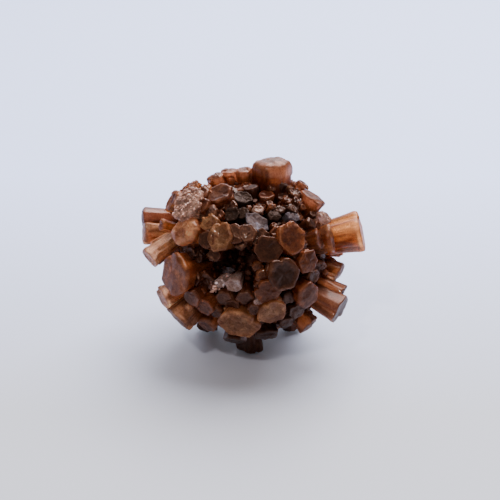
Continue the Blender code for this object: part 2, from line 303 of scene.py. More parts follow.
def calc(tree, operation, *values):
    return add(tree, "ShaderNodeMath", enumerate(values), operation=operation)[0]


def times(tree, product, *values):
    for value in values:
        product = calc(tree, "MULTIPLY", product, value)
    return product


def move(tree, operation, *values):
    """Vector arithmetic."""
    return add(tree, "ShaderNodeVectorMath", enumerate(values), operation=operation)["Vector"]


def scaled(tree, vector, amount):
    return add(tree, "ShaderNodeVectorMath", {0: vector, "Scale": amount}, operation="SCALE")["Vector"]


def combine(tree, *values):
    return add(tree, "ShaderNodeCombineXYZ", enumerate(values))[0]


def mottle(tree, vector, scale, detail=2.0, roughness=0.5):
    """Even grey noise from 0 to 1."""
    return add(tree, "ShaderNodeTexNoise", {"Vector": vector, "Scale": scale, "Detail": detail,
                                            "Roughness": roughness})[0]


def noted(tree, name, kind="FLOAT"):
    """What a mesh's points have noted under a name."""
    found = add(tree, "GeometryNodeInputNamedAttribute", {"Name": name}, data_type=kind)
    return socket_of(found, "Attribute")


def noted_as(tree, geometry, name, value, kind="FLOAT"):
    return add(tree, "GeometryNodeStoreNamedAttribute",
               {"Geometry": geometry, "Name": name, "Value": value}, data_type=kind, domain="POINT")[0]


def chance_of(tree, low, high, seed, kind="FLOAT"):
    drawn = add(tree, "FunctionNodeRandomValue", {"Min": low, "Max": high, "Seed": seed}, data_type=kind)
    return socket_of(drawn, "Value")


def new_group(name, kind, inputs, outputs):
    """A node group with named inputs and outputs, listed by kind, and its input node's outputs."""
    group = bpy.data.node_groups.new(name, kind)
    for in_out, sockets in (("INPUT", inputs), ("OUTPUT", outputs)):
        for socket_type, labels in sockets.items():
            for label in labels:
                group.interface.new_socket(label, in_out=in_out, socket_type=socket_type)
    return group, add(group, "NodeGroupInput")


def new_tree(name, shape, numbers):
    """A Geometry Nodes tree that takes an object as a shape, numbers, a seed and a material."""
    return new_group(name, "GeometryNodeTree",
                     {"NodeSocketGeometry": ("Geometry",), "NodeSocketObject": (shape,),
                      "NodeSocketFloat": numbers, "NodeSocketInt": ("Seed",),
                      "NodeSocketMaterial": ("Material",)},
                     {"NodeSocketGeometry": ("Geometry",)})


def close_tree(tree, geometry, material):
    """Every tree ends in real mesh with its material."""
    whole = add(tree, "GeometryNodeRealizeInstances", {0: geometry})
    painted = add(tree, "GeometryNodeSetMaterial", {"Geometry": whole[0], "Material": material})
    add(tree, "NodeGroupOutput", {0: painted[0]})


def sprouting_tree():
    """Sets small crystals all over a surface, as densely as its points' crust says."""
    tree, given = new_tree("sprout crystals", "Crystal",
                           ("Density", "Narrowest", "Widest", "Shortest", "Longest", "Lean"))
    share = from_to(tree, noted(tree, "crust"), 0.15, 1.0)
    spots = add(tree, "GeometryNodeDistributePointsOnFaces",
                {"Mesh": given["Geometry"], "Density": times(tree, given["Density"], share),
                 "Seed": given["Seed"]})
    small = add(tree, "GeometryNodeObjectInfo", {"Object": given["Crystal"]})

    width = chance_of(tree, given["Narrowest"], given["Widest"], given["Seed"])
    next_seed = calc(tree, "ADD", given["Seed"], 1)
    length = times(tree, width, chance_of(tree, given["Shortest"], given["Longest"], next_seed))
    lean = combine(tree, given["Lean"], given["Lean"], math.pi)
    back = move(tree, "MULTIPLY", lean, (-1, -1, -1))
    tilt = add(tree, "FunctionNodeEulerToRotation",
               {0: chance_of(tree, back, lean, given["Seed"], "FLOAT_VECTOR")})
    turned = add(tree, "FunctionNodeRotateRotation", {0: spots["Rotation"], 1: tilt[0]},
                 rotation_space="LOCAL")
    grown = add(tree, "GeometryNodeInstanceOnPoints",
                {"Points": spots["Points"], "Instance": small["Geometry"], "Rotation": turned[0],
                 "Scale": combine(tree, width, times(tree, width, STUB_FLATNESS), length)})
    crumbs = add(tree, "GeometryNodeRealizeInstances", {0: grown[0]})
    here = scaled(tree, add(tree, "GeometryNodeInputPosition")[0], 1 / MM)
    close_tree(tree, noted_as(tree, crumbs[0], "grain", here, "FLOAT_VECTOR"), given["Material"])
    return tree


def grown_piece(name, mesh, tree, **values):
    """Runs a tree on a mesh, its inputs set by their identifiers, and keeps the result as plain mesh."""
    obj = shown(name, mesh)
    modifier = obj.modifiers.new("grow", "NODES")
    modifier.node_group = tree
    for socket in tree.interface.items_tree:
        label = socket.name.replace(" ", "_").lower()
        if socket.in_out == "INPUT" and label in values:
            modifier[socket.identifier] = values[label]
    graph = bpy.context.evaluated_depsgraph_get()
    grown = bpy.data.meshes.new_from_object(obj.evaluated_get(graph))
    obj.modifiers.remove(modifier)
    grown.name = name
    obj.data = grown
    return obj


def part_of_ball(piece):
    """Every piece belongs to the one solid ball, whose own mesh is hidden."""
    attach(piece, "root")
    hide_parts("crystal_cluster")


def sprouts(name, mesh, stone, per_mm2, widths, lengths, lean, seed):
    """A crust of small crystals on a copy of a piece's mesh."""
    part_of_ball(grown_piece(name, mesh.copy(), SPROUT, crystal=STUB, density=per_mm2 / MM ** 2,
                             narrowest=widths[0] * MM, widest=widths[1] * MM, shortest=lengths[0],
                             longest=lengths[1], lean=lean, seed=seed, material=stone))


def grain_group():
    """Clouds, lengthwise streaks and fine grain, from a crystal's own coordinates in millimetres."""
    group, given = new_group("mineral grain", "ShaderNodeTree",
                             {"NodeSocketVector": ("Vector",),
                              "NodeSocketFloat": ("Cloud size", "Streak size", "Grain size")},
                             {"NodeSocketFloat": ("Cloud", "Streak", "Grain", "Wisp")})
    place = given["Vector"]
    drawn = move(group, "MULTIPLY", place, CLOUD_STRETCH)
    combed = move(group, "MULTIPLY", place, STREAK_STRETCH)
    cloud = mottle(group, drawn, calc(group, "DIVIDE", 1.0, given["Cloud size"]), 4.0, 0.6)
    streak = mottle(group, combed, calc(group, "DIVIDE", 1.0, given["Streak size"]), 2.0, 0.55)
    grain = mottle(group, place, calc(group, "DIVIDE", 1.0, given["Grain size"]), 5.0, 0.7)
    bent = move(group, "ADD", place, combine(group, times(group, cloud, 2.0), streak, cloud))
    ridge = mottle(group, bent, calc(group, "DIVIDE", 0.9, given["Cloud size"]), 3.0, 0.55)
    off = calc(group, "ABSOLUTE", calc(group, "SUBTRACT", ridge, 0.5))
    wisp = from_to(group, off, 0.0, WISP_WIDTH, 1.0, 0.0)
    add(group, "NodeGroupOutput", {"Cloud": cloud, "Streak": streak, "Grain": grain, "Wisp": wisp})
    return group


def brown_and_shade_group():
    """How far out from the heart a point lies, from 0 near the core to 1 at the tips, for the brown and
    painted shade near the heart.
    """
    group, given = new_group("heart brown and shade", "ShaderNodeTree",
                             {"NodeSocketVector": ("Heart",),
                              "NodeSocketFloat": ("Dark within", "Bright beyond")},
                             {"NodeSocketFloat": ("Outwards",)})
    place = add(group, "ShaderNodeTexCoord")["Object"]
    far = add(group, "ShaderNodeVectorMath", {0: place, 1: given["Heart"]}, operation="DISTANCE")
    outwards = from_to(group, far["Value"], given["Dark within"], given["Bright beyond"])
    add(group, "NodeGroupOutput", {"Outwards": outwards})
    return group


def use_group(tree, group, **values):
    named = {key.replace("_", " ").capitalize(): value for key, value in values.items()}
    return add(tree, "ShaderNodeGroup", named, node_tree=group)


def read(tree, name, output="Fac"):
    """What a piece's points have noted under a name, in a material."""
    return add(tree, "ShaderNodeAttribute", attribute_name=name)[output]


def tinted(tree, colour, tint):
    return mix(tree, 1.0, colour, TINTS[tint], "MULTIPLY")


def crystal_colour(tree, pattern, rings):
    """Streaked sides, clouded ends with faint six-sided rings, and brown at the heart, partly the stone's
    own and partly painted shade.
    """
    cloud, streak, grain = (pattern[name] for name in ("Cloud", "Streak", "Grain"))
    body = read(tree, "body_colour", "Vector")
    cap = read(tree, "cap_colour", "Vector")
    streaky, spread, tip = (read(tree, name) for name in ("streaky", "spread", "tip"))

    # The sides have dark and pale streaks.
    dim = times(tree, from_to(tree, streak, 0.3, 0.5, 1.0, 0.0), streaky)
    lit = times(tree, from_to(tree, streak, 0.54, 0.7), streaky)
    side = mix(tree, lit, mix(tree, dim, body, tinted(tree, body, "burnt")), tinted(tree, body, "bright"))

    # The ends have rings, and the sides' orange is painted into their outer part: a painted glow of light
    # passing through the thin edges.
    shifted = calc(tree, "MULTIPLY_ADD", cloud, 0.25, spread)
    wave = calc(tree, "SINE", times(tree, shifted, 15.0))
    end = mix(tree, from_to(tree, wave, -1.0, 1.0, 1 - rings, 1.0), tinted(tree, cap, "ring"), cap)
    end = mix(tree, from_to(tree, shifted, 0.8, 1.25, 0.0, 0.8), end, body)
    ragged = calc(tree, "ADD", tip, from_to(tree, cloud, 0.3, 0.7, -0.35, 0.35))
    colour = mix(tree, from_to(tree, ragged, 0.15, 0.85), side, end)

    # Clouds, milk, specks and veins run through both, and the worn rims are painted pale: a painted
    # highlight where light catches the edges.
    colour = mix(tree, from_to(tree, cloud, 0.36, 0.58), tinted(tree, colour, "cloud"), colour)
    colour = mix(tree, from_to(tree, cloud, 0.55, 0.7), colour, tinted(tree, colour, "milk"))
    colour = mix(tree, from_to(tree, grain, 0.38, 0.54), tinted(tree, colour, "speck"), colour)
    # The rims of the ends are painted pale: a painted highlight; the veins beside them are the stone's own.
    rim_highlight = times(tree, from_to(tree, spread, 0.92, 0.99, 0.0, 0.55), from_to(tree, tip, 0.85, 1.0))
    pale = calc(tree, "MAXIMUM", times(tree, pattern["Wisp"], 0.9), rim_highlight)
    colour = mix(tree, pale, colour, tinted(tree, colour, "vein and rim highlight"))

    # Within a distance of the heart the colour turns dark brown: partly the stone's own brown, partly
    # painted shade deep between the crystals.
    dark = times(tree, read(tree, "dark"), MM)
    bright = calc(tree, "ADD", dark, BROWN_AND_SHADE_SPAN * MM)
    outwards = use_group(tree, BROWN_AND_SHADE, heart=heart * MM, dark_within=dark, bright_beyond=bright)
    return mix(tree, outwards[0], tinted(tree, colour, "depth"), colour)


def relief(tree, pattern, height, share):
    """Fine grain and streaks that the skin is too coarse to hold."""
    rough = calc(tree, "MULTIPLY_ADD", pattern["Streak"], 0.6, pattern["Grain"])
    return add(tree, "ShaderNodeBump", {"Strength": share, "Distance": height * MM, "Height": rough})[0]


def brown_crust():
    """The heart's own stone: brown, gritty and not translucent."""
    material, tree, shader = new_material("brown crust")
    pattern = use_group(tree, GRAIN, vector=read(tree, "grain", "Vector"), **HEART_GRAIN)
    feed_all(tree, shader, {
        "Base Color": crystal_colour(tree, pattern, 0.0), "Normal": relief(tree, pattern, 0.15, 0.6),
        "Roughness": from_to(tree, pattern["Grain"], 0.35, 0.65, 0.3, 0.6), "IOR": HEART_IOR,
        "Specular IOR Level": HEART_GLOSS, "Specular Tint": SHEEN_TINT})
    return material


GRAIN = grain_group()
BROWN_AND_SHADE = brown_and_shade_group()
SPROUT = sprouting_tree()
STUB = stub()
crust_stone = brown_crust()
core = shown("heart", core_mesh())
core.data.materials.append(crust_stone)
part_of_ball(core)
sprouts("heart_druse", core.data, crust_stone, **DRUSE)

# The crystals that face the viewer
# Six-sided twins of aragonite, orange where light gets through them, painted lighter still where seen
# edge-on, and brown towards the heart, partly their own brown and partly painted shade.
# Each grew outwards from the heart into its neighbours, and ends in a flat, worn face.
# A row is the cap's centre (right, up, towards the viewer), width, depth, turn, the finish, how much
# crust the crystal carries, and where its axis starts if not at the heart.
FRONT = [
    # the crown
    ((4.1, 18.8, 7.5), 8.3, 8, 0, "shell", 0, (4.6, -3, 0.6)),
    ((-7.5, 16, 6), 3.8, 3.6, 0, "honey", 0.1, (-4.4, 5, 1.6)),
    ((-4.7, 16.8, 5.6), 3.9, 4, 20, "honey", 0, (-2.9, 5, 1.4)),
    ((-1.7, 17, 5.8), 4, 3.8, 0, "honey", 0.1, (-1.1, 5, 1.6)),
    ((-6.8, 12, 13.4), 5.4, 5, 12, "plum", 0),
    ((-2, 11.2, 12.2), 4.4, 3.2, -20, "smoke", 0),
    ((-9.6, 13.2, 10), 2.6, 2.4, 0, "amber", 0.3),
    # the upper left shoulder
    ((-13.4, 10, 13.2), 7.8, 8, 20, "bone", 0.6),
    ((-13.2, 12.8, 9.4), 5.4, 4.8, 0, "amber", 0.6),
    ((-16.4, 10.6, 8.4), 5, 4.8, 30, "amber", 0.2),
    ((-10.2, 12, 12.4), 3.4, 3.4, 10, "rust", 0.2),
    ((-10.2, 9.6, 14.8), 3.4, 3, 25, "rust", 0.1),
    ((-8.8, 8.6, 15.4), 3.2, 3.2, 0, "umber", 0.1),
    ((-6.6, 9.3, 13.6), 2.6, 2.2, 15, "umber", 0.1),
    ((-4.4, 9.4, 14), 3, 2.6, 0, "umber", 0.1),
    # the left side
    ((-22.2, 6.9, 2.5), 4.3, 4.8, 0, "block", 0, (-7, 6.6, 0)),
    ((-22.1, 3.9, 3.5), 4.9, 5, 15, "tan", 0, (-7, 3.2, 0.4)),
    ((-18.6, 5.6, 9.6), 2.6, 2.4, 0, "amber", 0.1),
    ((-14.4, 4.5, 15), 7.2, 5.8, 0, "peach", 0),
    ((-20.8, -1.4, 6.5), 4.9, 4.4, 20, "tan", 0, (-13.2, 4.6, 3.4)),
    ((-16, -4.8, 13.8), 9.4, 8.2, 82, "taupe", 0),
    ((-18.2, -9.3, 8), 5.2, 4.6, 10, "tan", 0.1),
    ((-15, -13.8, 7.8), 6.6, 5.8, 0, "pale", 0.1, (-7.2, -5.8, 6)),
    # the middle
    ((-8.8, 6, 16.4), 4, 3.4, 10, "olive", 0.2),
    ((-9.2, 2.5, 17.2), 3.8, 3.6, 25, "umber", 0.1),
    ((-6.6, 3, 18.2), 5.3, 6, 0, "olive", 0.1, (-3.4, 2.2, 9.4)),
    ((-7.8, -0.6, 16.2), 3, 2.8, 0, "umber", 0.1),
    ((-3.7, 3.7, 17.6), 4.2, 4.4, 20, "umber", 0.1, (-1.6, 3, 9)),
    ((-0.9, 3.9, 18.2), 3.8, 3.6, 8, "umber", 0.1, (-0.4, 1, 9.6)),
    ((-2.2, 1.9, 16.6), 3.2, 2.8, 30, "umber", 0.1),
    ((1.6, 3, 17.2), 4, 3.8, 15, "umber", 0.1),
    ((3.3, 0.5, 18.4), 5.8, 5.6, 0, "umber", 0, (1.2, 0.8, 9.6)),
    ((8.3, 2.9, 17.8), 6.2, 6.6, 25, "chestnut", 0),
    ((5.4, 3.9, 16.6), 3.2, 3, 0, "rust", 0),
    ((1, 6.2, 16), 5.2, 3.8, -35, "ink", 0, (0.2, 2.2, 9.6)),
    ((-2, 8, 14.8), 2.8, 2.4, 20, "smoke", 0.2),
    ((-4.2, 7.7, 15.2), 3.6, 2.8, 0, "smoke", 0.1),
    ((-7, 7.6, 15), 2.8, 2.2, 0, "plum", 0.2),
    ((1.2, 8.7, 14.4), 2.4, 2, 10, "bone", 0.2),
    ((4.6, 7.5, 14), 2.8, 2.2, 0, "smoke", 0.2),
    ((8.4, 7.3, 12.8), 3.4, 1.8, -10, "ink", 0),
    ((6, 8.9, 12.8), 2.4, 2, 20, "dusk", 0.2),
    # the dark hollow below the middle
    ((-12.8, -0.2, 14.2), 3, 2.6, 0, "dusk", 0.4),
    ((-11.2, -1, 14.4), 2.6, 2.2, 20, "dusk", 0.4),
    ((-12.2, -2.6, 13.4), 2.2, 2, 0, "dusk", 0.4),
    ((-5.4, -3.8, 11.6), 3.6, 1.4, 8, "ink", 0),
    ((-9.8, -5.9, 13.6), 4.2, 4, 15, "umber", 0.3),
    ((-11.8, -5.4, 13.6), 3, 3.4, 0, "umber", 0.2),
    ((-3.8, -6.9, 15.2), 3.4, 2.7, -12, "frost", 0),
    ((-6.6, -6.4, 14.4), 2.4, 2, 15, "frost", 0.3),
    ((-7.9, -7.4, 13.8), 2, 1.8, 0, "bone", 0.6),
    ((1.3, -3, 17), 2.6, 2.2, 0, "rust", 0.1),
    ((2.2, -5, 17), 2.8, 3, 20, "rust", 0.1),
    # the upper right
    ((12.4, 11.3, 7.6), 5.4, 5, 0, "plum", 0, (8.2, 4.2, 4.8)),
    ((10.4, 14, 5.6), 2.6, 2.4, 0, "plum", 0.4, (5.4, 7, 2.6)),
    ((8.8, 14.2, 4.6), 2.4, 2.2, 15, "plum", 0.5, (4.8, 7.6, 1.6)),
    ((9, 12.4, 8.6), 3, 2.6, 0, "umber", 0.5),
    ((7.4, 10.8, 11), 2.4, 2, 10, "plum", 0.6),
    ((9.4, 10.6, 11), 2.2, 2, 25, "umber", 0.6),
    ((8.6, 9.2, 12.2), 2.6, 2.2, 0, "dusk", 0.5),
    # the right arm
    ((22.2, 4.3, 4), 8, 7, 4, "flame", 0, (6, 0.9, 1.6)),
    ((16.5, 2.8, 8.4), 6.4, 5.4, 24, "amber", 0.1, (6, 1, 7)),
    ((14.1, 2.9, 11.2), 4.6, 4.4, 5, "rust", 0.2, (5.6, 0.8, 9)),
    ((15, 7.4, 8.6), 3.4, 3.2, 10, "bone", 0.3, (8.4, 3, 5)),
    ((12.2, 6, 11.6), 2.6, 2.2, 0, "umber", 0.2),
    # the lower right
    ((6.5, -4.6, 18.4), 6.9, 6.8, 10, "ember", 0),
    ((11.6, -2, 15.2), 4.8, 4.8, 0, "plum", 0.1),
    ((9.6, -0.6, 14.8), 2.8, 2.6, 10, "plum", 0.2),
    ((12.5, -5, 13.6), 3, 2.6, 0, "umber", 0.2),
    ((18.2, -4.2, 3.5), 4, 4.6, 10, "amber", 0, (8.6, 0.4, 1)),
    ((17, -5.8, 5.2), 2.4, 2.4, 0, "pale", 0.1, (8.8, -2, 3.4)),
    ((18.4, -8.5, 6), 3.6, 3.8, 0, "rust", 0, (8.4, -3.2, 3.6)),
    ((17.9, -11.7, 7.2), 6.4, 6.6, 8, "umber", 0.1, (7, -5.8, 3.8)),
    ((11.6, -9, 14.2), 5.6, 5.6, 20, "plum", 0.1),
    ((11.7, -15, 5.2), 4.6, 4.2, 10, "rust", 0, (5.4, -7.6, 3.4)),
    ((7.6, -9.6, 13.8), 3, 3, 0, "dusk", 0),
    ((9.2, -12.2, 11.6), 3.8, 3.6, 15, "dusk", 0.1),
    # the lower front
    ((3.4, -8.2, 17.2), 5.6, 5.2, 5, "rust", 0.1),
    ((4.1, -12.5, 15.2), 6, 5.8, 25, "olive", 0.1),
    ((-2.8, -14.8, 13), 8.6, 7.6, 0, "olive", 0),
    ((0.4, -11.8, 15.2), 2.8, 2.6, 0, "umber", 0.2),
    ((1.5, -10.3, 16.2), 1.8, 1.6, 15, "frost", 0.4),
    ((-1.4, -9.6, 15.6), 3.6, 3.4, 10, "umber", 0.2),
    ((-4, -10.9, 14.4), 3, 2.8, 35, "umber", 0.1),
    ((-5.8, -9.7, 14.4), 3.8, 3.6, 0, "umber", 0.1),
    ((-12.4, -9.5, 12.8), 4.4, 4.2, 15, "plum", 0.1),
    ((-9.9, -11.2, 13), 4.4, 4, 0, "plum", 0.2),
    ((-7.6, -12.4, 12.8), 3.2, 3, 20, "umber", 0.1),
    ((-9.2, -15, 8.6), 4.6, 4.2, 20, "rust", 0.1),
    # The lowest three take the darkest finish, dusk: painted shade under the ball.
    ((-3.6, -18, 6), 4.6, 4.2, 0, "dusk", 0.1),
    ((3, -17.2, 7), 5, 4.6, 20, "dusk", 0.1),
    ((7.2, -14.6, 8.2), 3.8, 3.6, 0, "dusk", 0.1),
]
# The colour of a crystal's sides and of its end, how far in millimetres the end's runs down, how
# streaky the sides are, the distance from the heart at which the brown and painted shade begin, and
# the smallest and largest radius of the worn shoulder.
FINISHES = {
    "flame": ((0.84, 0.28, 0.065), (0.78, 0.28, 0.09), 0.5, 1.5, 10, 0.4, 0.6),
    "amber": ((0.42, 0.12, 0.028), (0.34, 0.10, 0.03), 0.7, 1, 13.5, 0.2, 0.5),
    "honey": ((0.50, 0.125, 0.034), (0.36, 0.11, 0.045), 1.2, 0.5, 13, 0.5, 0.8),
    "block": ((0.20, 0.043, 0.013), (0.18, 0.046, 0.02), 0.6, 0.3, 12, 0.4, 0.6),
    "shell": ((0.60, 0.165, 0.04), (0.38, 0.165, 0.095), 4.2, 0.1, 15.6, 1.2, 1.45),
    "peach": ((0.92, 0.35, 0.13), (0.98, 0.42, 0.19), 1.5, 0.2, 13, 1, 1.2),
    "tan": ((0.90, 0.42, 0.19), (0.84, 0.40, 0.21), 0.8, 0.9, 12, 0.3, 0.5),
    "pale": ((0.46, 0.165, 0.06), (0.36, 0.145, 0.06), 0.8, 0.8, 12.5, 0.2, 0.5),
    "taupe": ((0.42, 0.11, 0.03), (0.46, 0.115, 0.02), 0.4, 0.3, 13, 0.3, 0.5),
    "plum": ((0.34, 0.084, 0.026), (0.19, 0.045, 0.011), 1, 0.3, 13.5, 0.15, 0.4),
    "rust": ((0.30, 0.078, 0.02), (0.17, 0.042, 0.013), 0.8, 0.6, 13.5, 0.12, 0.4),
    "chestnut": ((0.50, 0.135, 0.036), (0.21, 0.05, 0.015), 0.5, 0.3, 13, 0.15, 0.3),
    "umber": ((0.19, 0.052, 0.018), (0.08, 0.021, 0.007), 0.8, 0.7, 13.5, 0.12, 0.35),
    "ember": ((0.26, 0.075, 0.024), (0.014, 0.003, 0.0015), 0.2, 0.2, 13, 0.3, 0.4),
    "olive": ((0.54, 0.20, 0.07), (0.45, 0.195, 0.078), 1, 0.3, 13, 0.2, 0.4),
    "dusk": ((0.085, 0.026, 0.011), (0.06, 0.018, 0.008), 0.8, 0.3, 13, 0.12, 0.3),
    "bone": ((0.46, 0.22, 0.13), (0.66, 0.38, 0.28), 1.5, 0.2, 13.5, 0.3, 0.6),
    "frost": ((0.80, 0.54, 0.46), (0.86, 0.62, 0.54), 1, 0.2, 11, 0.1, 0.2),
    "smoke": ((0.03, 0.017, 0.012), (0.026, 0.015, 0.011), 0.8, 0.2, 12, 0.08, 0.16),
    "ink": ((0.05, 0.038, 0.038), (0.12, 0.095, 0.10), 0.8, 0.2, 10, 0.08, 0.16),
}
CLEAR_FINISHES = ("smoke", "ink")
# How far the ends of some are worn to a dome.
DOMES = {"shell": 1.0, "peach": 2.5, "flame": 1.0, "honey": 1.0, "block": 1.0}

# The form of a crystal. Its section, notch and taper are the solid ball's own. Growth and wear eat
# a few tenths of a millimetre into its faces, and the allowance makes up for some of that.
ROOT_RADIUS = 10.6
SIDES = 6
CORNER_STEP = 2.4
CORNER_REACH = 0.22
NOTCH_FROM_WIDTH = 5.0
NOTCH_HALF = 0.13
PHASE_STEP = 1.7
SIDEWAYS = 0.75
FORM = {
    "corner_swing": 0.07, "root_taper": 0.62, "notch_depth": 0.15, "corner_round": 0.09,
    "groove_depth": 0.12, "terrace_depth": 0.4, "ring_depth": 0.03, "dish_depth": 0.2,
    "wear_depth": 0.22,
}
TERRACE_PER_MM = 0.4
END_FROM = 0.95
WEAR_ALLOWANCE = 0.25
ROUNDEST_SHOULDER = 1.1
SHOULDER_SHARE = 0.36
TINT_SPREAD = (0.86, 1.14)
CRYSTAL_GRAIN = {"cloud_size": 1.9, "streak_size": 0.8, "grain_size": 0.3}
CRYSTAL_IOR = 1.53
COAT_ROUGHNESS = 0.05
SHEEN_GONE = (0.3, 0.7)


def skin_rings(sides, bend, end):
    """The rings that a crystal's skin is woven on, root to end: how far along it, how far below the
    end and in from the side as shares of its shoulder's radius, and how far out from the axis."""
    return ([(along, 0.0, 0.0, 1.0) for along in sides] + [(1.0, drop, inset, 1.0) for drop, inset in bend]
            + [(1.0, 0.0, 1.0, spread) for spread in end])


FINE_RINGS = skin_rings((0.0, 0.3, 0.5, 0.64, 0.75, 0.84),
                        ((1.9, 0.0), (1.0, 0.0), (0.5, 0.134), (0.134, 0.5)),
                        (1.0, 0.9, 0.78, 0.64, 0.48, 0.32, 0.15))
FINE_STOPS = (0.0, 0.06, 0.2, 0.37, 0.5, 0.63, 0.8, 0.94)
COARSE_RINGS = skin_rings((0.0, 0.5, 0.75), ((1.0, 0.0), (0.3, 0.3)), (1.0, 0.66, 0.33))
COARSE_STOPS = (0.0, 0.08, 0.36, 0.64, 0.92)


def section_axes(axis, turn):
    """A crystal's width lies along the picture's right, or its up where the crystal points sideways."""
    right, up = view_axes()
    start = up if abs(axis.dot(right)) > SIDEWAYS else right
    start = (start - axis * start.dot(axis)).normalized()
    wide = Matrix.Rotation(math.radians(turn), 3, axis) @ start
    return wide, axis.cross(wide)


def crystal(cap, root, width, depth, turn, phase, finish="umber", crust=0.0):
    return {"cap": cap, "root": root, "width": width, "depth": depth, "turn": turn, "phase": phase,
            "finish": finish, "crust": crust}


def front_crystals():
    found = []
    for number, (cap, width, depth, turn, finish, crust, *start) in enumerate(FRONT):
        tip = from_view(*cap)
        root = from_view(*start[0]) if start else tip.normalized() * ROOT_RADIUS
        found.append(crystal(tip, root, width, depth, turn, PHASE_STEP * number, finish, crust))
    return found


def column(name, rings, stops):
    """A closed column of rings whose points note where in a crystal's skin each belongs."""
    count = SIDES * len(stops)
    rows = [(along, drop, inset, spread, side + stop)
            for along, drop, inset, spread in rings for side in range(SIDES) for stop in stops]
    rows.append((0.0, 0.0, 0.0, 0.0, 0.0))
    rows.append((1.0, 0.0, 0.0, 0.0, 0.0))
    places = [(math.cos(math.tau * u / SIDES) * s, math.sin(math.tau * u / SIDES) * s, a)
              for a, drop, inset, s, u in rows]
    faces = []
    last = (len(rings) - 1) * count
    for n in range(count):
        m = (n + 1) % count
        for low in range(0, last, count):
            faces.append((low + n, low + m, low + count + m, low + count + n))
        faces.append((m, n, len(rows) - 2))
        faces.append((last + n, last + m, len(rows) - 1))
    mesh = bpy.data.meshes.new(name)
    mesh.from_pydata(places, [], faces)
    for number, label in enumerate(("along", "drop", "inset", "spread", "around")):
        note(mesh, label, [row[number] for row in rows])
    mesh.shade_smooth()
    return bpy.data.objects.new(name, mesh)


def corner_place(tree, number, phase, swing_size):
    """A corner of the unit section: the corners lie at uneven distances from the axis."""
    angle = times(tree, number, math.tau / SIDES)
    step = calc(tree, "MODULO", number, SIDES)
    swing = calc(tree, "SINE", calc(tree, "MULTIPLY_ADD", step, CORNER_STEP, phase))
    reach = calc(tree, "MULTIPLY_ADD", swing, swing_size, 1.0)
    return combine(tree, times(tree, calc(tree, "COSINE", angle), reach),
                   times(tree, calc(tree, "SINE", angle), reach), 0.0)


